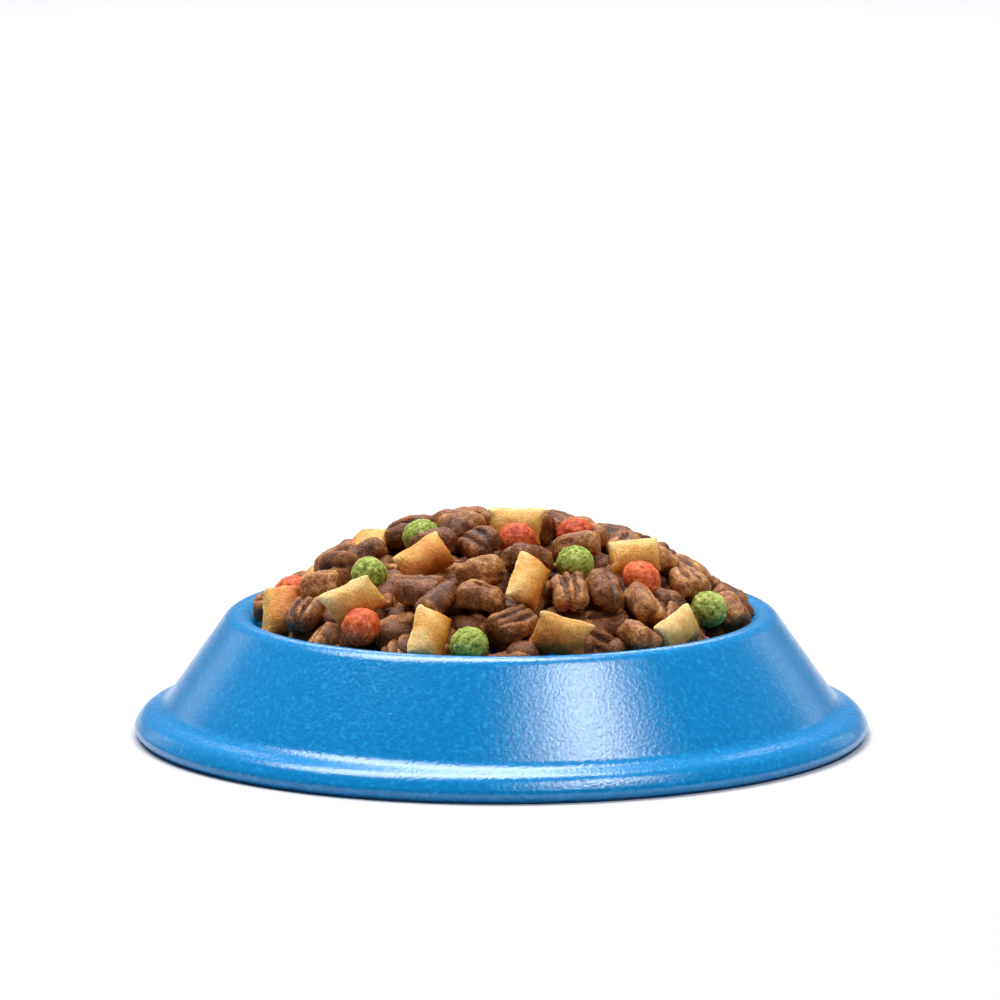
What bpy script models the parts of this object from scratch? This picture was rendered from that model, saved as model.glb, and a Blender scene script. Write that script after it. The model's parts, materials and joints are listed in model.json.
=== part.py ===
"""A round plastic pet bowl, heaped with dry food.

The bowl is one moulded shell: a basin, a rolled rim, a sloping skirt and a wide base flange that
turns under to a flat foot ring. The food is loose extruded pieces of five kinds. The pieces that lie
at the front and top of the heap are each an object, and one plain bed stands for the rest.
Units are metres, +Z is up, and the origin is the middle of the foot ring on the ground.
"""

import math
import random

import bmesh
import bpy
import numpy as np
from mathutils import Euler, Matrix, Vector
from mathutils.bvhtree import BVHTree

MM = 0.001
SEED = 11

# Bowl: outer skin of the turned shell, in millimetres
WALL = 2.4
BOWL_STEPS = 48
ARC_STEPS = 3
BASIN_FLOOR_Z = 7.0
BASIN_FLOOR_RADIUS = 66.0
BASIN_FILLET = 8.0
RIM_INNER_RADIUS = 74.0
RIM_INNER_Z = 34.0
RIM_INNER_FILLET = 4.0
RIM_CREST_RADIUS = 79.7
RIM_CREST_Z = 40.3
RIM_CREST_FILLET = 5.0
SKIRT_FOOT_RADIUS = 101.5
SKIRT_FOOT_Z = 9.4
SKIRT_FOOT_FILLET = 7.0
FLANGE_RADIUS = 107.7
FLANGE_Z = 7.3
FLANGE_FILLET = 6.0
EDGE_RADIUS = 111.8
EDGE_Z = 1.4
EDGE_FILLET = 2.4
FOOT_RADIUS = 108.1
FOOT_HEIGHT = 0.4

# Heap of food, in millimetres
HEAP_BASE_Z = 36.0
HEAP_RISE = 30.4
HEAP_RADIUS = 76.0
HEAP_ROUNDNESS = 2.3
SPIRAL_RADIUS = 68.0
SPIRAL_PIECES = 150
NEAREST_TO_LAID = 7.0
SETTLED_GAP = 0.9
SINK_LEAST = 1.2
SINK_MOST = 9.0
SINK_LAID = 1.5
WALL_CLEARANCE = 0.8
SETTLING_ROUNDS = 300
MOST_PUSH = 2.0
PUSH_SHARE = 0.4
LAID_MOBILITY = 0.03
MOST_TIP = 20.0
MOST_ROLL = 40.0
CLEARANCE_SCALE = 1.045
BED_DEPTH = 22.0
BED_GAP = 0.4
BED_RADIUS = 66.5
BED_STEPS = 6
BED_TURN_STEPS = 24

# Limits on the food pieces' number and detail
MOST_PIECE_NODES = 58
PIECE_SIDES = 12
PIECE_RINGS = 6

# Size of each kind of piece, in millimetres: length, width, height
SIZES = {
    "brown_bean": (14.6, 10.6, 7.8),
    "brown_chunk": (12.4, 10.6, 9.6),
    "yellow_pillow": (18.4, 12.2, 7.8),
    "green_ball": (11.2, 11.2, 10.8),
    "orange_ball": (11.6, 11.6, 10.4),
}

# Coloured pieces laid by hand on the heap: kind, x and y (mm), then turn about the heap's normal,
# tip of the far end and roll about its length (degrees)
LAID_PIECES = (
    ("green_ball", -23.5, 3.5, 0, 0, 0),
    ("green_ball", -37.5, -22, 0, 0, 0),
    ("green_ball", 21, -25, 0, 0, 0),
    ("green_ball", 60, -15, 0, 0, 0),
    ("green_ball", -8.5, -65, 0, 0, 0),
    ("orange_ball", -61.5, 18, 0, 0, 0),
    ("orange_ball", -39, -47.5, 0, 0, 0),
    ("orange_ball", 3, -14, 0, 0, 0),
    ("orange_ball", 22.5, 3, 0, 0, 0),
    ("orange_ball", 39.5, -23.5, 0, 0, 0),
    ("yellow_pillow", -65, -14, 65, -25, 40),
    ("yellow_pillow", -43, -37, 4, 0, 72),
    ("yellow_pillow", -22, -26, 30, -10, 50),
    ("yellow_pillow", 5, 0, 8, 0, 75),
    ("yellow_pillow", 8.5, -43, 75, -20, 40),
    ("yellow_pillow", 37, -9, 28, -15, 40),
    ("yellow_pillow", 16.5, -61, -10, 0, 62),
    ("yellow_pillow", -20, -61, 70, -15, 45),
    ("yellow_pillow", 49, -44, 60, -15, 50),
    ("yellow_pillow", -37.5, 15, 60, -20, 20),
)


def clear_scene():
    for obj in list(bpy.data.objects):
        bpy.data.objects.remove(obj, do_unlink=True)


def make_collection(name):
    collection = bpy.data.collections.new(name)
    bpy.context.scene.collection.children.link(collection)
    return collection


def make_material(name, colour, roughness):
    material = bpy.data.materials.new(name)
    material.use_nodes = True
    shader = material.node_tree.nodes["Principled BSDF"]
    shader.inputs["Base Color"].default_value = (*colour, 1.0)
    shader.inputs["Roughness"].default_value = roughness
    shader.inputs["Metallic"].default_value = 0.0
    return material


def add_object(collection, name, mesh, material):
    obj = bpy.data.objects.new(name, mesh)
    collection.objects.link(obj)
    if not mesh.materials:
        mesh.materials.append(material)
    return obj


# ---------------------------------------------------------------- turned shapes


def rounded_outline(corners):
    """Points along straight runs joined by arcs. Each corner is (radius, z, fillet radius)."""
    points = []
    for index, (radius, height, fillet) in enumerate(corners):
        here = Vector((radius, height))
        if fillet == 0.0:
            points.append(here)
            continue
        before = (Vector(corners[index - 1][:2]) - here).normalized()
        after = (Vector(corners[index + 1][:2]) - here).normalized()
        half_angle = before.angle(after) / 2.0
        run = fillet / math.tan(half_angle)
        centre = here + (before + after).normalized() * (fillet / math.sin(half_angle))
        start = here + before * run - centre
        sweep = start.angle_signed(here + after * run - centre)
        for step in range(ARC_STEPS + 1):
            turn = Matrix.Rotation(-sweep * step / ARC_STEPS, 2)
            points.append(centre + turn @ start)
    return points


def turned_mesh(name, outline):
    """A polyline in the XZ plane, in metres, for a Screw modifier to turn about Z."""
    mesh = bpy.data.meshes.new(name)
    vertices = [(point.x * MM, 0.0, point.y * MM) for point in outline]
    edges = [(index, index + 1) for index in range(len(outline) - 1)]
    mesh.from_pydata(vertices, edges, [])
    return mesh


def add_screw(obj, steps):
    screw = obj.modifiers.new("turn", "SCREW")
    screw.steps = steps
    screw.render_steps = steps
    screw.use_merge_vertices = True
    screw.merge_threshold = 0.00005
    screw.use_smooth_shade = True


def bowl_outline():
    return rounded_outline(
        [
            (0.0, BASIN_FLOOR_Z, 0.0),
            (BASIN_FLOOR_RADIUS, BASIN_FLOOR_Z, BASIN_FILLET),
            (RIM_INNER_RADIUS, RIM_INNER_Z, RIM_INNER_FILLET),
            (RIM_CREST_RADIUS, RIM_CREST_Z, RIM_CREST_FILLET),
            (SKIRT_FOOT_RADIUS, SKIRT_FOOT_Z, SKIRT_FOOT_FILLET),
            (FLANGE_RADIUS, FLANGE_Z, FLANGE_FILLET),
            (EDGE_RADIUS, EDGE_Z, EDGE_FILLET),
            (FOOT_RADIUS, FOOT_HEIGHT, 0.0),
            (FOOT_RADIUS, 0.0, 0.0),
        ]
    )


def make_bowl(collection):
    material = make_material("blue_plastic", (0.010, 0.240, 0.620), 0.28)
    bowl = add_object(collection, "bowl", turned_mesh("bowl", bowl_outline()), material)
    add_screw(bowl, BOWL_STEPS)
    solidify = bowl.modifiers.new("wall", "SOLIDIFY")
    solidify.thickness = WALL * MM
    solidify.offset = -1.0
    solidify.use_even_offset = True


# ---------------------------------------------------------------- heap surface


def heap_height(radius):
    """Height of the heap's outer surface, in millimetres."""
    return HEAP_BASE_Z + HEAP_RISE * (1.0 - (radius / HEAP_RADIUS) ** HEAP_ROUNDNESS)


def basin_radius(height):
    """Radius of the basin's wall and of the rim's inner slope at a height, in millimetres."""
    heights = (BASIN_FLOOR_Z, RIM_INNER_Z, RIM_CREST_Z)
    return np.interp(height, heights, (BASIN_FLOOR_RADIUS, RIM_INNER_RADIUS, RIM_CREST_RADIUS))


def heap_normal(x, y):
    radius = math.hypot(x, y)
    slope = HEAP_ROUNDNESS * HEAP_RISE / HEAP_RADIUS * (radius / HEAP_RADIUS) ** (HEAP_ROUNDNESS - 1.0)
    return Vector((slope * x / radius, slope * y / radius, 1.0)).normalized()


def make_bed(collection):
    """The food under the laid pieces: it fills the basin and domes up under them."""
    radii = [BED_RADIUS * step / BED_STEPS for step in range(BED_STEPS + 1)]
    outline = [Vector((radius, heap_height(radius) - BED_DEPTH)) for radius in radii]
    outline.append(Vector((BASIN_FLOOR_RADIUS - BASIN_FILLET, BASIN_FLOOR_Z + BED_GAP)))
    outline.append(Vector((0.0, BASIN_FLOOR_Z + BED_GAP)))
    material = make_material("buried_food", (0.060, 0.026, 0.014), 0.8)
    bed = add_object(collection, "kibble_bed", turned_mesh("kibble_bed", outline), material)
    add_screw(bed, BED_TURN_STEPS)


# ---------------------------------------------------------------- shapes of the pieces


def blunt(value, power):
    return math.copysign(abs(value) ** power, value)


def bean_point(along, around, size):
    """Two rounded lobes side by side, with a groove along the top and the underside."""
    girth = math.sin(math.pi * along) ** 0.55
    groove = 0.30 * math.exp(-((math.cos(around) / 0.22) ** 2))
    return Vector(
        (
            0.5 * size[0] * blunt(math.cos(math.pi * along), 0.85),
            0.5 * size[1] * girth * math.cos(around),
            0.5 * size[2] * girth * math.sin(around) * (1.0 - groove),
        )
    )


def chunk_point(along, around, size):
    """A short fluted length with three lobes and blunt cut ends."""
    girth = math.sin(math.pi * along) ** 0.40
    flute = 1.0 - 0.10 * (1.0 + math.cos(3.0 * (around - math.pi / 2.0)))
    return Vector(
        (
            0.5 * size[0] * blunt(math.cos(math.pi * along), 0.75),
            0.5 * size[1] * girth * math.cos(around) * flute,
            0.5 * size[2] * girth * math.sin(around) * flute,
        )
    )


def pillow_point(along, around, size):
    """A puffed tube whose two ends are pinched flat and flare out a little."""
    place = math.cos(math.pi * along)
    girth = math.sin(math.pi * along) ** 0.12 if 0.0 < along < 1.0 else 0.0
    flare = 0.90 + 0.10 * place**2
    puff = 0.16 + 0.84 * (1.0 - place**2) ** 0.75
    return Vector(
        (
            0.5 * size[0] * blunt(place, 0.9),
            0.5 * size[1] * girth * flare * blunt(math.cos(around), 0.75),
            0.5 * size[2] * girth * puff * blunt(math.sin(around), 0.9),
        )
    )


def ball_point(along, around, size):
    return Vector(
        (
            0.5 * size[0] * math.cos(math.pi * along),
            0.5 * size[1] * math.sin(math.pi * along) * math.cos(around),
            0.5 * size[2] * math.sin(math.pi * along) * math.sin(around),
        )
    )


POINT_RULES = {
    "brown_bean": bean_point,
    "brown_chunk": chunk_point,
    "yellow_pillow": pillow_point,
    "green_ball": ball_point,
    "orange_ball": ball_point,
}


def piece_mesh(kind):
    """A sphere whose poles lie along X, reshaped by the kind's rule."""
    shaped = bmesh.new()
    bmesh.ops.create_uvsphere(shaped, u_segments=PIECE_SIDES, v_segments=PIECE_RINGS, radius=1.0)
    for vertex in shaped.verts:
        along = math.acos(max(-1.0, min(1.0, vertex.co.z))) / math.pi
        around = math.atan2(vertex.co.y, vertex.co.x)
        vertex.co = POINT_RULES[kind](along, around, SIZES[kind]) * MM
    mesh = bpy.data.meshes.new(kind)
    shaped.to_mesh(mesh)
    shaped.free()
    mesh.shade_smooth()
    return mesh


# ---------------------------------------------------------------- laying the heap


def turned_along_heap(x, y, turn, tip, roll):
    """Rotation of a piece on the heap: turn about the normal, tip of its far end, roll about its length."""
    lean = Vector((0.0, 0.0, 1.0)).rotation_difference(heap_normal(x, y))
    own = Euler((math.radians(roll), math.radians(tip), math.radians(turn)), "XYZ")
    return lean @ own.to_quaternion()


def first_places(rng):
    """Kind, x, y, turn, tip and roll of each piece: first the laid ones, then brown ones on a spiral."""
    places = [list(entry) for entry in LAID_PIECES]
    golden_turn = math.pi * (3.0 - math.sqrt(5.0))
    brown_kinds = ("brown_bean", "brown_bean", "brown_chunk")
    for index in range(SPIRAL_PIECES):
        radius = SPIRAL_RADIUS * math.sqrt((index + 0.5) / SPIRAL_PIECES)
        x = radius * math.cos(index * golden_turn)
        y = radius * math.sin(index * golden_turn)
        if min(math.hypot(x - laid[1], y - laid[2]) for laid in LAID_PIECES) < NEAREST_TO_LAID:
            continue
        kind = rng.choice(brown_kinds)
        turn = rng.uniform(0.0, 180.0)
        tip = rng.uniform(-MOST_TIP, MOST_TIP)
        roll = rng.uniform(-MOST_ROLL, MOST_ROLL)
        places.append([kind, x, y, turn, tip, roll])
    return places


def piece_balls(centres, turns, spans):
    """Three balls along each piece, which stand for it while the heap settles."""
    steps = np.array([-1.0, 0.0, 1.0])
    return centres[:, None, :] + spans[:, None, None] * steps[None, :, None] * turns[:, None, :]


def overlaps(balls, reach):
    """Depth and direction of the worst contact between each pair of pieces."""
    gaps = balls[:, None, :, None, :] - balls[None, :, None, :, :]
    distance = np.linalg.norm(gaps, axis=-1) + 1e-9
    depth = (reach[:, None] + reach[None, :] + SETTLED_GAP)[:, :, None, None] - distance
    count = len(balls)
    flat = depth.reshape(count, count, -1)
    worst = flat.argmax(axis=2)
    rows, columns = np.indices((count, count))
    depth = flat[rows, columns, worst]
    away = (gaps / distance[..., None]).reshape(count, count, -1, 3)[rows, columns, worst]
    np.fill_diagonal(depth, -1.0)
    return depth, away


def settle(places):
    """Pushes pieces apart until few touch, keeps them under the heap's surface and inside the basin."""
    laid = np.arange(len(places)) < len(LAID_PIECES)
    sizes = np.array([SIZES[place[0]] for place in places])
    sink = np.where(laid, 0.0, SINK_LEAST + (SINK_MOST - SINK_LEAST) * (np.arange(len(places)) % 3) / 2.0)
    flat = np.array([place[1:3] for place in places], dtype=float)
    top = heap_height(np.hypot(flat[:, 0], flat[:, 1])) - sizes[:, 2] / 2.0
    centres = np.column_stack((flat, top - sink))
    rotations = [turned_along_heap(*place[1:]) for place in places]
    axes = np.array([rotation @ Vector((1.0, 0.0, 0.0)) for rotation in rotations])
    reach = sizes[:, 1] / 2.0
    spans = (sizes[:, 0] - sizes[:, 1]) / 2.0
    mobility = np.where(laid, LAID_MOBILITY, 1.0)
    for _ in range(SETTLING_ROUNDS):
        depth, away = overlaps(piece_balls(centres, axes, spans), reach)
        push = np.clip(depth, 0.0, MOST_PUSH)[..., None] * away * PUSH_SHARE
        centres += push.sum(axis=1) * mobility[:, None]
        balls = piece_balls(centres, axes, spans)
        limit = basin_radius(balls[:, :, 2] - reach[:, None] / 2.0) - WALL_CLEARANCE - reach[:, None]
        excess = (np.hypot(balls[:, :, 0], balls[:, :, 1]) - limit).max(axis=1)
        radius = np.hypot(centres[:, 0], centres[:, 1])
        centres[:, :2] *= (1.0 - np.clip(excess, 0.0, None) / radius)[:, None]
        top = heap_height(np.hypot(centres[:, 0], centres[:, 1])) - sizes[:, 2] / 2.0
        least = np.where(laid, 0.0, SINK_LEAST)
        most = np.where(laid, SINK_LAID, SINK_MOST)
        centres[:, 2] = np.clip(centres[:, 2], top - most, top - least)
    return centres, rotations


def grown_tree(mesh, place):
    """The piece's surface where it lies, grown a little so that a gap stays between neighbours."""
    grown = place @ Matrix.Scale(CLEARANCE_SCALE, 4)
    corners = [grown @ vertex.co for vertex in mesh.vertices]
    return BVHTree.FromPolygons(corners, [tuple(face.vertices) for face in mesh.polygons])


def without_contacts(kinds, matrices, meshes):
    """Indices of the pieces that are kept once each piece that still touches another is taken out."""
    trees = [grown_tree(meshes[kind], matrix) for kind, matrix in zip(kinds, matrices)]
    touching = {index: set() for index in range(len(kinds))}
    for first in range(len(kinds)):
        for second in range(first):
            if trees[first].overlap(trees[second]):
                touching[first].add(second)
                touching[second].add(first)
    kept = list(range(len(kinds)))
    while True:
        crowded = [index for index in kept if touching[index]]
        if not crowded:
            return kept
        loose = [index for index in crowded if index >= len(LAID_PIECES)]
        worst = max(loose or crowded, key=lambda index: (len(touching[index]), index))
        kept.remove(worst)
        for other in touching.pop(worst):
            touching[other].discard(worst)


def make_pieces(collection):
    rng = random.Random(SEED)
    places = first_places(rng)
    centres, rotations = settle(places)
    meshes = {kind: piece_mesh(kind) for kind in SIZES}
    kinds = [place[0] for place in places]
    matrices = [
        Matrix.LocRotScale(Vector(centre) * MM, rotation, None)
        for centre, rotation in zip(centres, rotations)
    ]
    kept = without_contacts(kinds, matrices, meshes)
    kept.sort(key=lambda index: (index >= len(LAID_PIECES), centres[index][1]))
    print(len(kept), "pieces on the heap,", sum(index < len(LAID_PIECES) for index in kept), "laid by hand")
    materials = {
        "brown_bean": make_material("brown_kibble", (0.150, 0.062, 0.030), 0.7),
        "brown_chunk": make_material("dark_kibble", (0.120, 0.048, 0.024), 0.7),
        "yellow_pillow": make_material("yellow_kibble", (0.800, 0.440, 0.110), 0.6),
        "green_ball": make_material("green_kibble", (0.260, 0.380, 0.060), 0.8),
        "orange_ball": make_material("orange_kibble", (0.620, 0.110, 0.020), 0.8),
    }
    counts = dict.fromkeys(SIZES, 0)
    for index in kept[:MOST_PIECE_NODES]:
        kind = kinds[index]
        counts[kind] += 1
        piece = add_object(collection, f"{kind}_{counts[kind]:02d}", meshes[kind], materials[kind])
        piece.matrix_world = matrices[index]
    return counts


def main():
    clear_scene()
    collection = make_collection("filled_pet_bowl")
    make_bowl(collection)
    make_bed(collection)
    print(make_pieces(collection))


main()
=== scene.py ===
import json
import math
import random
import bmesh
import bpy
import numpy as np
from mathutils import Matrix, Quaternion, Vector

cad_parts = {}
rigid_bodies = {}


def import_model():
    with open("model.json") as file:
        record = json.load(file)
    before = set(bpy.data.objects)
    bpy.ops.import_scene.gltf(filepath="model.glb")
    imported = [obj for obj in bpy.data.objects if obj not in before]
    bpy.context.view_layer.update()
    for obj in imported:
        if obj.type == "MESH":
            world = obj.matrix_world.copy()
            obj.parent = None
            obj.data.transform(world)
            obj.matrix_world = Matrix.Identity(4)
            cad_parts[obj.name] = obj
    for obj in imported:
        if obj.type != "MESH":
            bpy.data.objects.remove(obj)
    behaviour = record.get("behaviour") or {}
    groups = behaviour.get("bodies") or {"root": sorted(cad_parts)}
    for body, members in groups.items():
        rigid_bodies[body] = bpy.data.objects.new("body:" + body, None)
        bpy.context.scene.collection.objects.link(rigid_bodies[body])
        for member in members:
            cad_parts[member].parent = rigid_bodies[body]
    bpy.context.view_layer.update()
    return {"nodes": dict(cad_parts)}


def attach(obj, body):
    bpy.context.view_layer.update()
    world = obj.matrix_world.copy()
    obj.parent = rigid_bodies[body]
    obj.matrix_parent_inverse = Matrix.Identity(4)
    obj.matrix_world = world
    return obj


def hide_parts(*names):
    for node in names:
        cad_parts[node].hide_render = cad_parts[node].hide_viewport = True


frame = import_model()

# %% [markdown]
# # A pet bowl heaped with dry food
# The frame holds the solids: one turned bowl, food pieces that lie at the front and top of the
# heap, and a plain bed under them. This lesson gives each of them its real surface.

MM = 0.001
FOOD_KINDS = ("brown_bean", "brown_chunk", "yellow_pillow", "green_ball", "orange_ball")
food_nodes = sorted(name for name in frame["nodes"] if name.startswith(FOOD_KINDS))
print(len(frame["nodes"]), "solids,", len(food_nodes), "of them food pieces")

# %% [markdown]
# ## Two small helpers
# Every material and every geometry tree below is a graph of nodes. One function adds a node with its
# settings, its values and its links, so that a graph reads as a list of steps. Colours are written as
# sRGB hex, as a paint chart gives them, and one function turns them to the linear values that a shader
# works in.

# %% Helpers for nodes and colours
def linear(code, alpha=1.0):
    """sRGB hex such as "1c8fd4" to linear red, green, blue and alpha."""
    channels = [int(code[start:start + 2], 16) / 255.0 for start in (0, 2, 4)]
    return (*(c / 12.92 if c <= 0.04045 else ((c + 0.055) / 1.055) ** 2.4 for c in channels), alpha)


def add_node(tree, kind, inputs=None, stops=None, **settings):
    """Adds a node. An input is a value or another node's output; stops are a ramp's places and colours."""
    node = tree.nodes.new(kind)
    for name, value in settings.items():
        setattr(node, name, value)
    for key, value in (inputs or {}).items():
        if isinstance(value, bpy.types.NodeSocket):
            tree.links.new(value, node.inputs[key])
        else:
            node.inputs[key].default_value = value
    for index, (place, code) in enumerate(stops or ()):
        stop = node.color_ramp.elements[index] if index < 2 else node.color_ramp.elements.new(place)
        stop.position = place
        stop.color = linear(code)
    return node


def new_material(name, roughness, **values):
    """A material whose shader's fixed values are set on its own sockets."""
    material = bpy.data.materials.new(name)
    material.use_nodes = True
    shader = material.node_tree.nodes["Principled BSDF"]
    shader.inputs["Roughness"].default_value = roughness
    for socket, value in values.items():
        shader.inputs[socket.replace("_", " ")].default_value = value
    return material, material.node_tree, shader


print("bowl blue in linear light:", [round(c, 3) for c in linear("0588cc")[:3]])

# %% [markdown]
# ## Camera
# A long lens, about two metres away and ten degrees above the ground, keeps the rings of the bowl
# almost as flat ellipses. The camera is aimed a little above the bowl, which leaves room over the heap.

# %% Camera
ELEVATION = math.radians(10.4)
DISTANCE = 1.915
AIM_HEIGHT = 0.020
AIM_RISE = 0.0500
AIM_SIDE = -0.0004

view_up = Vector((0.0, math.sin(ELEVATION), math.cos(ELEVATION)))
view_ahead = Vector((0.0, math.cos(ELEVATION), -math.sin(ELEVATION)))
look_at = Vector((0.0, 0.0, AIM_HEIGHT))
camera_data = bpy.data.cameras.new("camera")
camera_data.lens = 229.0
camera_data.sensor_width = 36.0
camera_data.clip_end = 50.0
camera = bpy.data.objects.new("camera", camera_data)
camera.location = look_at - view_ahead * DISTANCE
aim = look_at + view_up * AIM_RISE + Vector((AIM_SIDE, 0.0, 0.0))
camera.rotation_euler = (aim - camera.location).to_track_quat("-Z", "Y").to_euler()
bpy.context.scene.collection.objects.link(camera)
bpy.context.scene.camera = camera
print("camera stands at", [round(c, 3) for c in camera.location])

# %% [markdown]
# ## Light and floor
# The studio is dark in front and lighter behind, because a white wall in front would mirror in the skirt
# and wash out its blue. Two soft boxes, one within the other, stand in front and to the right, and their
# reflection is the pale patch on the skirt. One high at the back lights the crest of the rim and the top
# of the food, and two narrow ones far back edge the skirt's sides. The last one shines straight down on
# the paper behind the bowl, so that the sweep turns white.

# %% Light and floor
DARK_SIDE = 0.08
WHITE_SIDE = 0.2


def add_soft_box(name, direction, distance, width, height, power):
    """A rectangular lamp that faces the bowl from a direction."""
    lamp_data = bpy.data.lights.new(name, "AREA")
    lamp_data.shape = "RECTANGLE"
    lamp_data.size = width
    lamp_data.size_y = height
    lamp_data.energy = power
    lamp = bpy.data.objects.new(name, lamp_data)
    lamp.location = look_at + Vector(direction).normalized() * distance
    lamp.rotation_euler = (look_at - lamp.location).to_track_quat("-Z", "Y").to_euler()
    bpy.context.scene.collection.objects.link(lamp)


add_soft_box("soft_box_front", (0.33, -0.34, 0.80), 3.2, 1.9, 1.0, 31.0)
add_soft_box("soft_box_inner", (0.35, -0.34, 0.80), 3.1, 0.8, 0.7, 20.0)
add_soft_box("soft_box_top", (-0.20, 0.30, 0.93), 3.2, 2.8, 1.5, 145.0)
add_soft_box("strip_left", (-0.62, 0.72, 0.26), 1.6, 0.2, 0.5, 0.35)
add_soft_box("strip_right", (0.64, 0.72, 0.26), 1.6, 0.2, 0.5, 0.35)
add_soft_box("backdrop_lamp", (0.0, 0.80, 0.50), 3.2, 1.5, 0.8, 26.0)
bpy.data.objects["backdrop_lamp"].rotation_euler = (0.0, 0.0, 0.0)

world = bpy.data.worlds.new("studio")
world.use_nodes = True
world_tree = world.node_tree
direction = add_node(world_tree, "ShaderNodeTexCoord").outputs["Generated"]
depth_way = add_node(world_tree, "ShaderNodeSeparateXYZ", {0: direction}).outputs["Y"]
walls = add_node(world_tree, "ShaderNodeMapRange", {"Value": depth_way, "From Min": -0.1, "From Max": 0.5,
                                                    "To Min": DARK_SIDE, "To Max": WHITE_SIDE})
world_tree.links.new(walls.outputs[0], world_tree.nodes["Background"].inputs["Strength"])
world_tree.nodes["Background"].inputs["Color"].default_value = linear("ffffff")
bpy.context.scene.world = world
bpy.context.scene.view_settings.view_transform = "Standard"

floor_mesh = bpy.data.meshes.new("floor")
floor_shape = bmesh.new()
bmesh.ops.create_grid(floor_shape, x_segments=1, y_segments=1, size=20.0)
floor_shape.to_mesh(floor_mesh)
floor_shape.free()
floor = bpy.data.objects.new("floor", floor_mesh)
bpy.context.scene.collection.objects.link(floor)
floor_material, floor_tree, floor_shader = new_material("white_sweep_paper", 0.9)
floor_shader.inputs["Base Color"].default_value = linear("cdcdd0")
floor_shader.inputs["Specular IOR Level"].default_value = 0.0
floor_mesh.materials.append(floor_material)

# %% [markdown]
# ## The bowl's plastic
# The bowl is injection-moulded polypropylene, coloured right through. The mould was given a fine leather
# grain, so its gloss breaks up: a highlight has ragged edges and small sparkles inside. Lighter flecks of
# uneven pigment, about a millimetre and a half apart, lie in the blue. Polypropylene has an IOR of 1.49.

# %% Moulded blue plastic
GRAIN_SIZE = 0.95 * MM
GRAIN_DEPTH = 0.12 * MM
FLECK_SIZE = 1.5 * MM

blue_plastic, tree, shader = new_material("moulded_blue_polypropylene", 0.19, IOR=1.49,
                                          Specular_IOR_Level=0.6)
place = add_node(tree, "ShaderNodeTexCoord").outputs["Object"]
flecks = add_node(tree, "ShaderNodeTexNoise", {"Vector": place, "Scale": 1.0 / FLECK_SIZE, "Detail": 2.0})
blue = add_node(tree, "ShaderNodeValToRGB", {"Fac": flecks.outputs["Fac"]},
                stops=((0.36, "037fc2"), (0.56, "0588cc"), (0.70, "1f99da")))
tree.links.new(blue.outputs["Color"], shader.inputs["Base Color"])
grain = add_node(tree, "ShaderNodeTexNoise",
                 {"Vector": place, "Scale": 1.0 / GRAIN_SIZE, "Detail": 2.5, "Roughness": 0.5})
bump = add_node(tree, "ShaderNodeBump",
                {"Height": grain.outputs["Fac"], "Strength": 1.0, "Distance": GRAIN_DEPTH})
tree.links.new(bump.outputs["Normal"], shader.inputs["Normal"])
print("grain repeats every", GRAIN_SIZE / MM, "mm")

# %% [markdown]
# ## The bowl
# The real bowl has one wall of even thickness: a basin, a rolled rim, a sloping skirt, and a base flange
# whose edge turns under to the foot ring. It could be carved from solids, but a moulded shell is best
# turned: half of its outer skin is drawn once, Screw turns it, and Solidify gives the wall. The corners
# are the same as the solid's, with finer arcs and more steps round, so that the rim reads as a true circle.

# %% Turned bowl
WALL = 2.4
BOWL_CORNERS = (  # radius, height and fillet, in millimetres
    (0.0, 7.0, 0.0),
    (66.0, 7.0, 8.0),
    (74.0, 34.0, 4.0),
    (79.7, 40.3, 5.0),
    (101.5, 9.4, 7.0),
    (107.7, 7.3, 6.0),
    (111.8, 1.4, 2.4),
    (108.1, 0.4, 0.0),
    (108.1, 0.0, 0.0),
)
ARC_STEPS = 8
TURN_STEPS = 256


def rounded_outline(corners):
    """Straight runs joined by arcs, as points of radius and height."""
    points = []
    for index, (radius, height, fillet) in enumerate(corners):
        here = Vector((radius, height))
        if not fillet:
            points.append(here)
            continue
        before = (Vector(corners[index - 1][:2]) - here).normalized()
        after = (Vector(corners[index + 1][:2]) - here).normalized()
        half_angle = before.angle(after) / 2.0
        run = fillet / math.tan(half_angle)
        centre = here + (before + after).normalized() * (fillet / math.sin(half_angle))
        start = here + before * run - centre
        sweep = start.angle_signed(here + after * run - centre)
        for step in range(ARC_STEPS + 1):
            points.append(centre + Matrix.Rotation(-sweep * step / ARC_STEPS, 2) @ start)
    return points


def link_mesh(name, mesh):
    obj = bpy.data.objects.new(name, mesh)
    bpy.context.scene.collection.objects.link(obj)
    return obj


outline = rounded_outline(BOWL_CORNERS)
bowl_mesh = bpy.data.meshes.new("pet_bowl")
bowl_mesh.from_pydata([(p.x * MM, 0.0, p.y * MM) for p in outline],
                      [(i, i + 1) for i in range(len(outline) - 1)], [])
bowl = link_mesh("pet_bowl", bowl_mesh)
screw = bowl.modifiers.new("turn", "SCREW")
screw.steps = TURN_STEPS
screw.render_steps = TURN_STEPS
screw.use_merge_vertices = True
screw.merge_threshold = 0.02 * MM
solidify = bowl.modifiers.new("wall", "SOLIDIFY")
solidify.thickness = WALL * MM
solidify.offset = -1.0
solidify.use_even_offset = True
turned = bpy.data.meshes.new_from_object(bowl.evaluated_get(bpy.context.evaluated_depsgraph_get()))
bowl.modifiers.clear()
bowl.data = turned
turned.shade_smooth()
turned.set_sharp_from_angle(angle=math.radians(50.0))
turned.materials.append(blue_plastic)
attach(bowl, "root")
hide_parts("bowl")
print("bowl:", len(turned.polygons), "faces,", [round(side / MM, 1) for side in bowl.dimensions])

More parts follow.
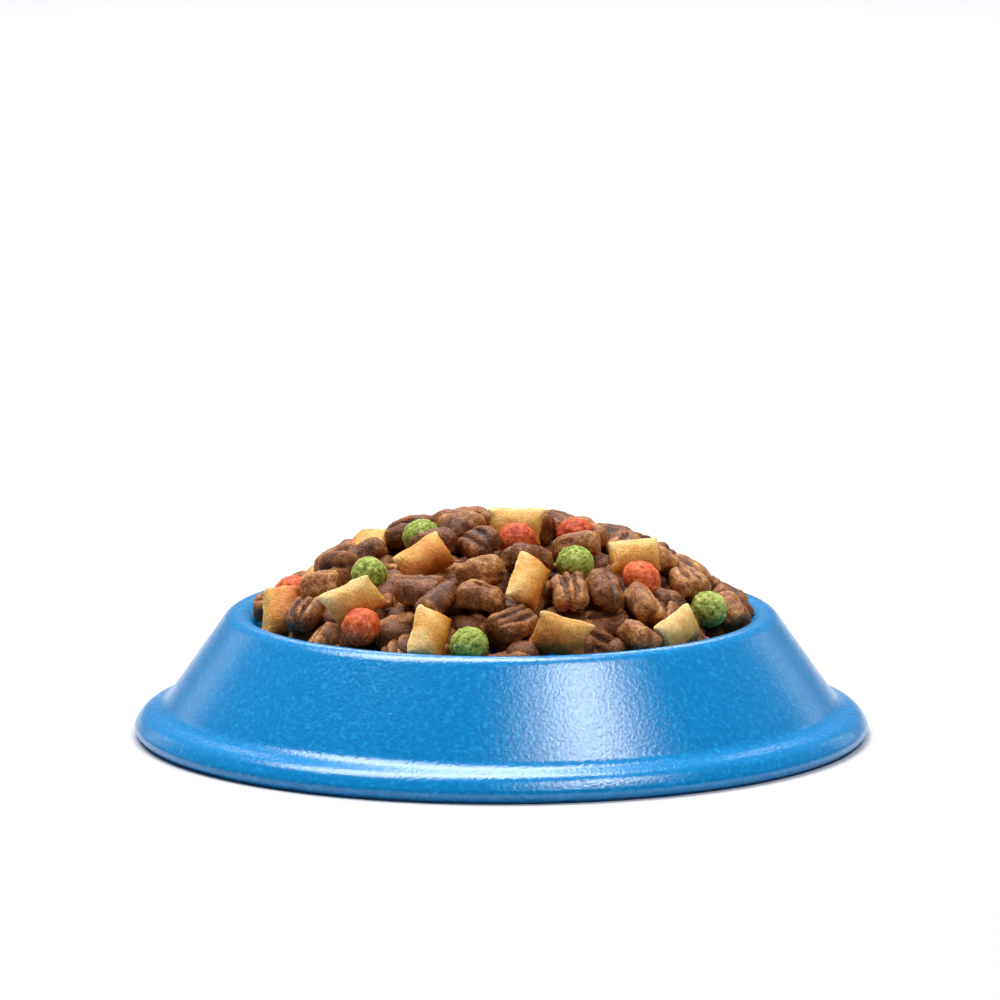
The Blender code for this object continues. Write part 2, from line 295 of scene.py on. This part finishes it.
# %% [markdown]
# ## The shapes of the food
# Dry food is dough pushed through a die and cut as it leaves, so every kind is a length of one section
# with two cut ends, and then it puffs. A bean has two lobes and a groove, a chunk has flutes, a pillow is
# pinched flat along its two long edges, and the balls are rolled. Each kind is one rule that gives a point from its
# place along and around the piece. Small random changes of taper, bend and groove make no two alike.

# %% Rules for the five kinds
SIZES = {  # length, width and height in millimetres
    "brown_bean": (14.6, 10.6, 7.8),
    "brown_chunk": (12.4, 10.6, 9.6),
    "yellow_pillow": (18.4, 12.2, 7.8),
    "green_ball": (11.2, 11.2, 10.8),
    "orange_ball": (11.6, 11.6, 10.4),
}
RINGS = 30
SIDES = 56


def blunt(value, power):
    return np.sign(value) * np.abs(value) ** power


def notch(distance, width):
    return np.exp(-(np.abs(distance / width) ** 1.5))


def bean_points(along, around, rng):
    length, width, height = SIZES["brown_bean"]
    girth = (1.0 - np.abs(along) ** rng.uniform(4.0, 8.0)) ** 0.36
    across = blunt(np.cos(around), 0.76)
    grooves = rng.choice(((0.0,), (0.06,), (-0.34, 0.3), (-0.3, 0.36), (-0.1,)))
    depth = rng.uniform(0.34, 0.66)
    cut = sum(notch(across - place - rng.uniform(-0.1, 0.1) * along, 0.11) for place in grooves) * depth
    width = width * (1.0 + rng.uniform(-0.14, 0.14) * along)
    x = 0.5 * length * along + rng.uniform(-1.2, 1.2) * across * (1.0 - along**2) ** 0.5
    y = 0.5 * width * girth * across + rng.uniform(-1.0, 1.0) * along**2
    z = (0.5 * height * girth * blunt(np.sin(around), 0.74) * (1.0 - cut)
         * (1.0 + rng.uniform(-0.1, 0.14) * along))
    return x, y, z + rng.uniform(-1.0, 0.4) * (along**2 - 0.3)


def chunk_points(along, around, rng):
    length, width, height = SIZES["brown_chunk"]
    girth = (1.0 - np.abs(along) ** 8.0) ** 0.32
    flutes = rng.choice((1, 2, 3))
    first = rng.uniform(0.0, math.tau)
    cut = 0.0
    for flute in range(flutes):
        apart = np.angle(np.exp(1j * (around - first - math.tau * flute / flutes - 0.12 * along)))
        cut = cut + notch(apart, 0.16) * rng.uniform(0.06, 0.32)
    skew = rng.uniform(-1.8, 1.8)
    x = 0.5 * length * along + skew * np.cos(around) * girth * 0.5
    y = (0.5 * width * girth * blunt(np.cos(around), 0.74) * (1.0 - cut)
         * (1.0 + rng.uniform(-0.14, 0.14) * along))
    z = 0.5 * height * girth * blunt(np.sin(around), 0.74) * (1.0 - cut)
    return x, y, z + rng.uniform(-0.8, 0.8) * along**2


def pillow_points(along, around, rng):
    """The pinched edges are the long ones, and flare out at the corners."""
    length, width, height = SIZES["yellow_pillow"]
    closing = (1.0 - np.abs(along) ** 24) ** 0.5
    length = length * (0.84 + 0.18 * np.abs(along) ** 4) * (1.0 + rng.uniform(-0.13, 0.13) * along)
    puff = 0.10 + 0.90 * (1.0 - np.abs(along) ** 2.4) ** 0.8
    across = blunt(np.cos(around), 0.72)
    x = 0.5 * length * closing * across + rng.uniform(-1.4, 1.4) * along
    y = -0.5 * width * along * (1.0 - 0.10 * (1.0 - across**2))
    z = 0.5 * height * closing * puff * blunt(np.sin(around), 0.85)
    return x, y, z + rng.uniform(-1.4, 1.4) * (along**2 - 0.35) + rng.uniform(-0.06, 0.06) * x


def ball_points(kind):
    def points(along, around, rng):
        length, width, height = (side * rng.uniform(0.95, 1.04) for side in SIZES[kind])
        girth = np.sqrt(np.clip(1.0 - along**2, 0.0, 1.0))
        return (0.5 * length * along, 0.5 * width * girth * np.cos(around),
                0.5 * height * girth * np.sin(around))
    return points


POINT_RULES = {
    "brown_bean": bean_points,
    "brown_chunk": chunk_points,
    "yellow_pillow": pillow_points,
    "green_ball": ball_points("green_ball"),
    "orange_ball": ball_points("orange_ball"),
}


def form_mesh(kind, rng, rings=RINGS, sides=SIDES):
    """A closed skin of rings and two poles, shaped by the kind's rule, around its own middle."""
    steps = np.cos(np.linspace(math.pi, 0.0, rings + 1))
    turns = np.arange(sides) * math.tau / sides
    along = np.concatenate(([-1.0], np.repeat(steps[1:-1], sides), [1.0]))
    around = np.concatenate(([0.0], np.tile(turns, rings - 1), [0.0]))
    corners = np.stack(POINT_RULES[kind](along, around, rng), axis=1) * MM
    last = len(corners) - 1
    faces = []
    for side in range(sides):
        beside = (side + 1) % sides
        faces.append((0, 1 + beside, 1 + side))
        faces.append((last, last - sides + side, last - sides + beside))
        for ring in range(rings - 2):
            row = 1 + ring * sides
            faces.append((row + side, row + beside, row + sides + beside, row + sides + side))
    mesh = bpy.data.meshes.new(kind)
    mesh.from_pydata(corners.tolist(), [], faces)
    return mesh


print("kinds:", ", ".join(POINT_RULES))

# %% [markdown]
# ## Where the pieces lie
# The solids say where 58 pieces lie: each one's middle and the directions of its length, width and height
# come from the spread of its points. The rest of the heap follows the same dome. Places are dealt out on a
# sunflower spiral at several depths, and then pushed apart from the solids and from each other, as loose
# pieces are when a bowl is shaken. A place that still overlaps its neighbours too far, or that hides a
# coloured piece, is left out. That could be a rigid-body simulation, but this is quicker and the
# result is the same every time.

# %% Places of the pieces
HEAP_BASE = 36.0
HEAP_RISE = 30.4
HEAP_RADIUS = 76.0
HEAP_ROUNDNESS = 2.3
MORE_PIECES = 300
SETTLING_ROUNDS = 160
DEEPEST = 10.0
CLEAR_OF_COLOUR = 9.0
CLEAR_OF_SOLIDS = 8.0
SPIRAL_RADIUS = 68.0
HALF_PIECE = 5.5
COLOURED_BEHIND = 18.0
COLOURED_SHARE = 0.3
MOST_PUSH = 2.0
PUSH_SHARE = 0.35
WALL_GAP = 0.4
MOST_OVERLAP_BACK = 3.2
MOST_OVERLAP_FRONT = 4.4
WALL_RADII, WALL_HEIGHTS, _ = zip(*BOWL_CORNERS[1:4])


def heap_height(radius):
    return HEAP_BASE + HEAP_RISE * (1.0 - (radius / HEAP_RADIUS) ** HEAP_ROUNDNESS)


def lie_of(node):
    """Middle in millimetres, and a turn whose columns are the solid's length, width and height."""
    points = np.unique(np.array([v.co[:] for v in bpy.data.objects[node].data.vertices]).round(6), axis=0)
    middle = points.mean(axis=0)
    _, spread = np.linalg.eigh(np.cov((points - middle).T))
    long_way = spread[:, 2]
    high_way = spread[:, 0] * (1.0 if spread[2, 0] >= 0.0 else -1.0)
    return middle / MM, np.stack((long_way, np.cross(high_way, long_way), high_way), axis=1)


def turn_on_heap(x, y, turn, roll):
    steepness = HEAP_ROUNDNESS * HEAP_RISE * math.hypot(x, y) ** (HEAP_ROUNDNESS - 2.0)
    slope = steepness / HEAP_RADIUS**HEAP_ROUNDNESS
    normal = Vector((slope * x, slope * y, 1.0)).normalized()
    lean = Vector((0.0, 0.0, 1.0)).rotation_difference(normal)
    own = Quaternion((0.0, 0.0, 1.0), turn) @ Quaternion((1.0, 0.0, 0.0), roll)
    return np.array((lean @ own).to_matrix())


def basin_radius(height):
    return np.interp(height, WALL_HEIGHTS, WALL_RADII)


rng = random.Random(5)
kinds = [name.rsplit("_", 1)[0] for name in food_nodes]
middles = []
turns = []
for node in food_nodes:
    middle, turn = lie_of(node)
    middles.append(middle)
    turns.append(turn)
golden_turn = math.pi * (3.0 - math.sqrt(5.0))
for index in range(MORE_PIECES):
    radius = SPIRAL_RADIUS * math.sqrt((index + 0.5) / MORE_PIECES)
    x, y = radius * math.cos(index * golden_turn), radius * math.sin(index * golden_turn)
    middle = np.array((x, y, heap_height(radius) - HALF_PIECE - DEEPEST * (index % 4) / 3.0))
    if min(np.linalg.norm(middle - other) for other in middles[:len(food_nodes)]) < CLEAR_OF_SOLIDS:
        continue
    brown = ("brown_bean", "brown_bean", "brown_chunk")
    coloured = ("yellow_pillow", "yellow_pillow", "green_ball", "orange_ball")
    kinds.append(rng.choice(coloured if y > COLOURED_BEHIND and rng.random() < COLOURED_SHARE else brown))
    middles.append(middle)
    turns.append(turn_on_heap(x, y, rng.uniform(0.0, math.pi), rng.uniform(-0.9, 0.9)))

middles = np.array(middles)
sizes = np.array([SIZES[kind] for kind in kinds])
ways = np.array([turn[:, 0] for turn in turns])
reach = (sizes[:, 1] + sizes[:, 2]) / 4.0
spans = sizes[:, 0] / 2.0 - reach
loose = np.arange(len(kinds)) >= len(food_nodes)


def contacts():
    """How deep each pair of pieces meets, and which way parts them. Three balls stand for a piece."""
    along = np.array((-1.0, 0.0, 1.0))[None, :, None]
    balls = middles[:, None] + spans[:, None, None] * along * ways[:, None]
    apart = balls[:, None, :, None] - balls[None, :, None, :]
    distance = np.linalg.norm(apart, axis=-1) + 1e-9
    count = len(kinds)
    depth = ((reach[:, None] + reach[None, :])[:, :, None, None] - distance).reshape(count, count, -1)
    rows, columns = np.indices((count, count))
    worst = depth.argmax(axis=2)
    away = (apart / distance[..., None]).reshape(count, count, -1, 3)[rows, columns, worst]
    depth = depth[rows, columns, worst]
    np.fill_diagonal(depth, -1.0)
    return depth, away


for _ in range(SETTLING_ROUNDS):
    depth, away = contacts()
    push = (np.clip(depth, 0.0, MOST_PUSH)[..., None] * away).sum(axis=1)
    middles += push * PUSH_SHARE * loose[:, None]
    radius = np.hypot(middles[:, 0], middles[:, 1]) + 1e-9
    outward = np.abs((ways[:, :2] * middles[:, :2]).sum(axis=1)) / radius
    limit = basin_radius(middles[:, 2] - reach / 2.0) - reach - spans * outward - WALL_GAP
    middles[:, :2] *= np.where(loose, np.minimum(1.0, limit / radius), 1.0)[:, None]
    top = heap_height(np.hypot(middles[:, 0], middles[:, 1])) - sizes[:, 2] / 2.0
    middles[:, 2] = np.where(loose, np.clip(middles[:, 2], top - DEEPEST, top), middles[:, 2])

depth, _ = contacts()
crowding = depth.max(axis=1)
to_camera = -np.array(view_ahead)
coloured = middles[[index for index in range(len(food_nodes)) if "brown" not in kinds[index]]]


def hides_a_colour(middle):
    """Whether a piece stands before a coloured one, as the camera sees it."""
    from_coloured = middle - coloured
    nearer = from_coloured @ to_camera
    beside = np.linalg.norm(from_coloured - nearer[:, None] * to_camera, axis=1)
    return bool(((nearer > 0.0) & (beside < CLEAR_OF_COLOUR)).any())


kept = [index for index in range(len(kinds))
        if not loose[index]
        or (crowding[index] < (MOST_OVERLAP_BACK if middles[index][1] > 0.0 else MOST_OVERLAP_FRONT)
            and not hides_a_colour(middles[index]))]
overlaps = [crowding[index] for index in kept if loose[index]]
print(len(kept), "pieces kept,", len(overlaps), "of them between and behind the solids")
print("they overlap a neighbour by", round(float(np.median(overlaps)), 1), "mm at the median and",
      round(float(max(overlaps)), 1), "mm at most")

# %% [markdown]
# ## Crust
# Baking leaves a crust: soft lumps as wide as a few millimetres, crumbs under a millimetre, and pits where
# steam came out. It could be painted on, but the light here is low and shows every bump, so it is real
# shape. A geometry tree moves each point along its normal by noise, by pits, and by fine lines that cross
# the piece's length, which only the pillows have. Its sizes are named inputs.

# %% Geometry tree for the crust
CRUST_INPUTS = ("Lump Size", "Lump Height", "Crumb Size", "Crumb Height",
                "Pit Size", "Pit Depth", "Line Spacing", "Line Depth")


def crust_tree():
    tree = bpy.data.node_groups.new("baked_crust", "GeometryNodeTree")
    tree.interface.new_socket("Geometry", in_out="INPUT", socket_type="NodeSocketGeometry")
    for name in CRUST_INPUTS:
        tree.interface.new_socket(name, in_out="INPUT", socket_type="NodeSocketFloat")
    tree.interface.new_socket("Shift", in_out="INPUT", socket_type="NodeSocketVector")
    tree.interface.new_socket("Material", in_out="INPUT", socket_type="NodeSocketMaterial")
    tree.interface.new_socket("Geometry", in_out="OUTPUT", socket_type="NodeSocketGeometry")
    asked = add_node(tree, "NodeGroupInput").outputs
    place = add_node(tree, "GeometryNodeInputPosition").outputs[0]
    shifted = add_node(tree, "ShaderNodeVectorMath", {0: place, 1: asked["Shift"]},
                       operation="ADD").outputs[0]

    def per_metre(size):
        return add_node(tree, "ShaderNodeMath", {0: 1.0, 1: asked[size]}, operation="DIVIDE").outputs[0]

    def waves(size, height, detail):
        noise = add_node(tree, "ShaderNodeTexNoise",
                         {"Vector": shifted, "Scale": per_metre(size), "Detail": detail})
        centred = add_node(tree, "ShaderNodeMath", {0: noise.outputs["Fac"], 1: 0.5}, operation="SUBTRACT")
        doubled = add_node(tree, "ShaderNodeMath", {0: centred.outputs[0], 1: 2.0}, operation="MULTIPLY")
        return add_node(tree, "ShaderNodeMath", {0: doubled.outputs[0], 1: asked[height]}, operation="MULTIPLY")

    cells = add_node(tree, "ShaderNodeTexVoronoi", {"Vector": shifted, "Scale": per_metre("Pit Size")})
    pit = add_node(tree, "ShaderNodeMapRange", {"Value": cells.outputs["Distance"], "From Min": 0.0,
                                                "From Max": 0.42, "To Min": -1.0, "To Max": 0.0},
                   interpolation_type="SMOOTHSTEP")
    pits = add_node(tree, "ShaderNodeMath", {0: pit.outputs[0], 1: asked["Pit Depth"]}, operation="MULTIPLY")
    length_way = add_node(tree, "ShaderNodeSeparateXYZ", {0: place}).outputs["X"]
    turns_across = add_node(tree, "ShaderNodeMath", {0: length_way, 1: per_metre("Line Spacing")},
                            operation="MULTIPLY")
    angle = add_node(tree, "ShaderNodeMath", {0: turns_across.outputs[0], 1: math.tau}, operation="MULTIPLY")
    sway = add_node(tree, "ShaderNodeTexNoise", {"Vector": shifted, "Scale": 1.0 / (5.0 * MM)})
    swayed = add_node(tree, "ShaderNodeMath", {0: sway.outputs["Fac"], 1: 9.0, 2: angle.outputs[0]},
                      operation="MULTIPLY_ADD")
    line = add_node(tree, "ShaderNodeMath", {0: swayed.outputs[0]}, operation="SINE")
    lines = add_node(tree, "ShaderNodeMath", {0: line.outputs[0], 1: asked["Line Depth"]}, operation="MULTIPLY")
    rise = waves("Lump Size", "Lump Height", 1.0).outputs[0]
    for part in (waves("Crumb Size", "Crumb Height", 3.0), pits, lines):
        rise = add_node(tree, "ShaderNodeMath", {0: rise, 1: part.outputs[0]}, operation="ADD").outputs[0]
    normal = add_node(tree, "GeometryNodeInputNormal").outputs[0]
    offset = add_node(tree, "ShaderNodeVectorMath", {0: normal, "Scale": rise}, operation="SCALE").outputs[0]
    moved = add_node(tree, "GeometryNodeSetPosition", {"Geometry": asked["Geometry"], "Offset": offset})
    smooth = add_node(tree, "GeometryNodeSetShadeSmooth", {"Geometry": moved.outputs[0]})
    real = add_node(tree, "GeometryNodeRealizeInstances", {"Geometry": smooth.outputs[0]})
    coated = add_node(tree, "GeometryNodeSetMaterial",
                      {"Geometry": real.outputs[0], "Material": asked["Material"]})
    add_node(tree, "NodeGroupOutput", {"Geometry": coated.outputs[0]})
    return tree


baked_crust = crust_tree()
print("crust tree:", len(baked_crust.nodes), "nodes")

# %% [markdown]
# ## Food colours
# The brown dough's colour follows the relief that the crust gave, as painted shade: darker in its grooves
# and hollows, lighter on its crests and cut ends, with crumbs all over. Each piece also has a tone of
# its own, as no two bake alike. The yellow pieces are puffed maize, lighter on their thin pinched edges by
# the same painted shade. The green and orange balls are rolled in ground meal, with pale crumbs and
# painted shade in their hollows.

# %% Food materials
def food_material(name, roughness, stops, relief_shade_share, crumb_share, crumb_size):
    """Colour from relief as painted shade, crumbs and the piece's own tone, all on one ramp from hollow to crest.
    """
    material, tree, shader = new_material(name, roughness, IOR=1.45)
    place = add_node(tree, "ShaderNodeTexCoord").outputs["Object"]
    relief = add_node(tree, "ShaderNodeAttribute", attribute_name="relief").outputs["Fac"]
    tone = add_node(tree, "ShaderNodeAttribute", attribute_name="tone").outputs["Fac"]
    crumbs = add_node(tree, "ShaderNodeTexNoise", {"Vector": place, "Scale": 1.0 / crumb_size, "Detail": 3.0,
                                                   "Roughness": 0.65}).outputs["Fac"]
    patches = add_node(tree, "ShaderNodeTexNoise", {"Vector": place, "Scale": 1.0 / (6.0 * MM)}).outputs["Fac"]
    # Painted shade from the stored relief: darker in hollows and grooves, lighter on crests.
    relief_shaded = add_node(tree, "ShaderNodeMath", {0: relief, 1: relief_shade_share, 2: tone}, operation="MULTIPLY_ADD")
    crumbled = add_node(tree, "ShaderNodeMath", {0: crumbs, 1: crumb_share, 2: relief_shaded.outputs[0]},
                        operation="MULTIPLY_ADD")
    patched = add_node(tree, "ShaderNodeMath", {0: patches, 1: 0.5, 2: crumbled.outputs[0]},
                       operation="MULTIPLY_ADD")
    centred = add_node(tree, "ShaderNodeMath", {0: patched.outputs[0], 1: 0.5 * crumb_share + 0.25},
                       operation="SUBTRACT")
    colour = add_node(tree, "ShaderNodeValToRGB", {"Fac": centred.outputs[0]}, stops=stops)
    tree.links.new(colour.outputs["Color"], shader.inputs["Base Color"])
    bump = add_node(tree, "ShaderNodeBump", {"Height": crumbs, "Strength": 0.9, "Distance": 0.5 * MM})
    tree.links.new(bump.outputs["Normal"], shader.inputs["Normal"])
    return material


brown_dough = food_material("baked_brown_dough", 0.45,
                            ((0.06, "2a1006"), (0.32, "643414"), (0.56, "a4622a"), (0.82, "e0a862")),
                            0.5, 1.0, 0.6 * MM)
maize = food_material("puffed_maize", 0.5,
                      ((0.12, "b85c0c"), (0.36, "da842a"), (0.60, "ebb054"), (0.88, "fadc98")),
                      0.45, 0.6, 0.7 * MM)
green_meal = food_material("green_meal", 0.7,
                           ((0.14, "5a6a18"), (0.38, "98a83c"), (0.58, "bcc662"), (0.82, "e6ebb0")),
                           1.5, 0.75, 0.8 * MM)
orange_meal = food_material("orange_meal", 0.6,
                            ((0.14, "8e2205"), (0.38, "c94614"), (0.60, "e66b28"), (0.85, "f5a56a")),
                            1.5, 0.65, 0.9 * MM)

# crust sizes in millimetres, in the order of the tree's inputs
FINISHES = {
    "brown_bean": (brown_dough, "brown_kibble", (4.0, 0.80, 0.9, 0.28, 1.5, 0.18, 5.0, 0.0)),
    "brown_chunk": (brown_dough, "brown_kibble", (4.4, 0.90, 1.0, 0.28, 1.6, 0.20, 5.0, 0.0)),
    "yellow_pillow": (maize, "yellow_kibble", (4.6, 0.50, 0.9, 0.15, 2.0, 0.10, 1.0, 0.06)),
    "green_ball": (green_meal, "green_kibble", (2.4, 0.35, 1.0, 0.34, 1.3, 0.22, 5.0, 0.0)),
    "orange_ball": (orange_meal, "orange_kibble", (2.6, 0.38, 1.0, 0.26, 1.4, 0.16, 5.0, 0.0)),
}
print("food finishes:", len(FINISHES))

# %% [markdown]
# ## Baking the pieces
# Each piece starts from its kind's rule, is given even little faces by a voxel remesh, and then its crust.
# Pieces that stand for a solid are finer, as they are seen closest. The relief is measured on the finished
# mesh: how far a point stands out of its own smoothed surroundings. Last, the piece is moved to its place.

# %% One baked piece
FINE_VOXEL = 0.45 * MM
COARSE_VOXEL = 0.62 * MM
SMOOTHING_ROUNDS = 12
TONES = (0.34, 0.58)
# How far a pillow's tone shifts from one long edge to the other.
PILLOW_EDGE_SHIFT = 0.26


def input_names(tree):
    return {item.name: item.identifier for item in tree.interface.items_tree if item.in_out == "INPUT"}


def points_of(mesh):
    points = np.empty(len(mesh.vertices) * 3)
    mesh.vertices.foreach_get("co", points)
    return points.reshape(-1, 3)


def relief_of(mesh):
    """Height of each point over its smoothed surroundings, in millimetres."""
    count = len(mesh.vertices)
    corners = points_of(mesh)
    ends = np.empty(len(mesh.edges) * 2, dtype=int)
    mesh.edges.foreach_get("vertices", ends)
    first, second = ends[0::2], ends[1::2]
    degree = np.bincount(ends, minlength=count)[:, None]
    smooth = corners.copy()
    for _ in range(SMOOTHING_ROUNDS):
        total = np.stack([
            np.bincount(first, smooth[second, axis], count) + np.bincount(second, smooth[first, axis], count)
            for axis in range(3)
        ], axis=1)
        smooth = total / degree
    normals = np.empty(count * 3)
    mesh.vertices.foreach_get("normal", normals)
    relief = ((corners - smooth) * normals.reshape(-1, 3)).sum(axis=1) / MM
    return relief - np.median(relief)


def bake_piece(name, kind, middle, turn, voxel, rng):
    """One piece of food as a plain mesh in its place, with its relief and tone stored on its points."""
    material, _, crust = FINISHES[kind]
    form = link_mesh(name, form_mesh(kind, rng))
    remesh = form.modifiers.new("even_faces", "REMESH")
    remesh.mode = "VOXEL"
    remesh.voxel_size = voxel
    baked = form.modifiers.new("crust", "NODES")
    baked.node_group = baked_crust
    named = input_names(baked_crust)
    for label, size in zip(CRUST_INPUTS, crust):
        baked[named[label]] = size * MM
    baked[named["Shift"]] = [rng.uniform(0.0, 1.0) for _ in range(3)]
    baked[named["Material"]] = material
    mesh = bpy.data.meshes.new_from_object(form.evaluated_get(bpy.context.evaluated_depsgraph_get()))
    form.modifiers.clear()
    form.data = mesh
    # The relief sets the painted shade of the food's colour: darker in hollows, lighter on crests.
    relief = mesh.attributes.new("relief", "FLOAT", "POINT")
    relief.data.foreach_set("value", relief_of(mesh))
    tone = mesh.attributes.new("tone", "FLOAT", "POINT")
    # Each pillow's tone shifts across its width, paler along one long edge and more orange along the other, the
    # side chosen at random.
    edge_shift = rng.choice((-1.0, 1.0)) * (PILLOW_EDGE_SHIFT if kind == "yellow_pillow" else 0.0)
    edge_shift = edge_shift / (0.5 * SIZES[kind][1] * MM)
    tone.data.foreach_set("value", rng.uniform(*TONES) + edge_shift * points_of(mesh)[:, 1])
    mesh.transform(Matrix.Translation(Vector(middle) * MM) @ Matrix(turn.tolist()).to_4x4())
    return form


def join_pieces(name, parts):
    """Several meshes made one object."""
    joined = bmesh.new()
    for part in parts:
        joined.from_mesh(part.data)
    mesh = bpy.data.meshes.new(name)
    joined.to_mesh(mesh)
    joined.free()
    mesh.materials.append(parts[0].data.materials[0])
    for part in parts:
        bpy.data.objects.remove(part, do_unlink=True)
    return link_mesh(name, mesh)


faces = 0
for index, node in enumerate(food_nodes):
    piece = bake_piece("baked_" + node, kinds[index], middles[index], turns[index], FINE_VOXEL, rng)
    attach(piece, "root")
    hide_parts(node)
    faces += len(piece.data.polygons)
print(len(food_nodes), "pieces,", faces, "faces")

# %% [markdown]
# The pieces between and behind the solids are coarser. They are joined by kind and by side of the bowl,
# so that each object stays light.

# %% Pieces between and behind
groups = {}
for index in kept:
    if loose[index]:
        side = "back" if middles[index][1] > 0.0 else "front"
        part = bake_piece("part", kinds[index], middles[index], turns[index], COARSE_VOXEL, rng)
        groups.setdefault((kinds[index], side), []).append(part)
for (kind, side), parts in sorted(groups.items()):
    piece = join_pieces(f"more_{kind}s_{side}", parts)
    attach(piece, "root")
    print(piece.name, len(piece.data.polygons), "faces")

# %% [markdown]
# ## Buried food
# Through the gaps between the top pieces one sees the food underneath. It only has to be there, so a
# geometry tree scatters one light bean over a lower dome, each turned at random, and the whole layer
# stands for the plain bed.

# %% Buried layer by geometry nodes
BURIED_DEPTH = 15.0
BURIED_SPACING = 8.5 * MM
BURIED_RADIUS = 64.0
# One tone for all the buried beans, at the dark end of the top pieces' range: painted shade for the food deep in
# the heap.
BURIED_TONE = 0.36
DOME_STEPS = 12
LIGHT_RINGS = 8
LIGHT_SIDES = 14


def buried_tree(bean, material):
    tree = bpy.data.node_groups.new("buried_layer", "GeometryNodeTree")
    tree.interface.new_socket("Geometry", in_out="INPUT", socket_type="NodeSocketGeometry")
    tree.interface.new_socket("Spacing", in_out="INPUT", socket_type="NodeSocketFloat")
    tree.interface.new_socket("Geometry", in_out="OUTPUT", socket_type="NodeSocketGeometry")
    asked = add_node(tree, "NodeGroupInput").outputs
    points = add_node(tree, "GeometryNodeDistributePointsOnFaces",
                      {"Mesh": asked["Geometry"], "Distance Min": asked["Spacing"], "Density Max": 30000.0,
                       "Seed": 3}, distribute_method="POISSON")
    turned = add_node(tree, "FunctionNodeRandomValue", {"Max": (math.tau, math.tau, math.tau), "Seed": 8},
                      data_type="FLOAT_VECTOR")
    source = add_node(tree, "GeometryNodeObjectInfo", {"Object": bean})
    laid = add_node(tree, "GeometryNodeInstanceOnPoints",
                    {"Points": points.outputs["Points"], "Instance": source.outputs["Geometry"],
                     "Rotation": turned.outputs["Value"]})
    real = add_node(tree, "GeometryNodeRealizeInstances", {"Geometry": laid.outputs[0]})
    coated = add_node(tree, "GeometryNodeSetMaterial", {"Geometry": real.outputs[0], "Material": material})
    add_node(tree, "NodeGroupOutput", {"Geometry": coated.outputs[0]})
    return tree


dome_radii = [BURIED_RADIUS * step / DOME_STEPS for step in range(DOME_STEPS + 1)]
dome_outline = [(radius, heap_height(radius) - BURIED_DEPTH) for radius in dome_radii]
dome_shape = bmesh.new()
rim_points = [dome_shape.verts.new((radius * MM, 0.0, height * MM))
              for radius, height in reversed(dome_outline)]
rim_edges = [dome_shape.edges.new(pair) for pair in zip(rim_points, rim_points[1:])]
bmesh.ops.spin(dome_shape, geom=rim_points + rim_edges, cent=(0, 0, 0), axis=(0, 0, 1),
               angle=math.tau, steps=48)
bmesh.ops.remove_doubles(dome_shape, verts=dome_shape.verts, dist=0.01 * MM)
dome_mesh = bpy.data.meshes.new("buried_food")
dome_shape.to_mesh(dome_mesh)
dome_shape.free()
buried = link_mesh("buried_food", dome_mesh)
light_bean = link_mesh("light_bean", form_mesh("brown_bean", rng, LIGHT_RINGS, LIGHT_SIDES))
layer = buried.modifiers.new("layer", "NODES")
layer.node_group = buried_tree(light_bean, brown_dough)
layer[input_names(layer.node_group)["Spacing"]] = BURIED_SPACING
buried_mesh = bpy.data.meshes.new_from_object(buried.evaluated_get(bpy.context.evaluated_depsgraph_get()))
buried.modifiers.clear()
buried.data = buried_mesh
bpy.data.objects.remove(light_bean, do_unlink=True)
buried_mesh.shade_smooth()
tone = buried_mesh.attributes.new("tone", "FLOAT", "POINT")
tone.data.foreach_set("value", np.full(len(buried_mesh.vertices), BURIED_TONE))
relief = buried_mesh.attributes.new("relief", "FLOAT", "POINT")
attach(buried, "root")
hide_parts("kibble_bed")
print("buried layer:", len(buried_mesh.polygons), "faces")
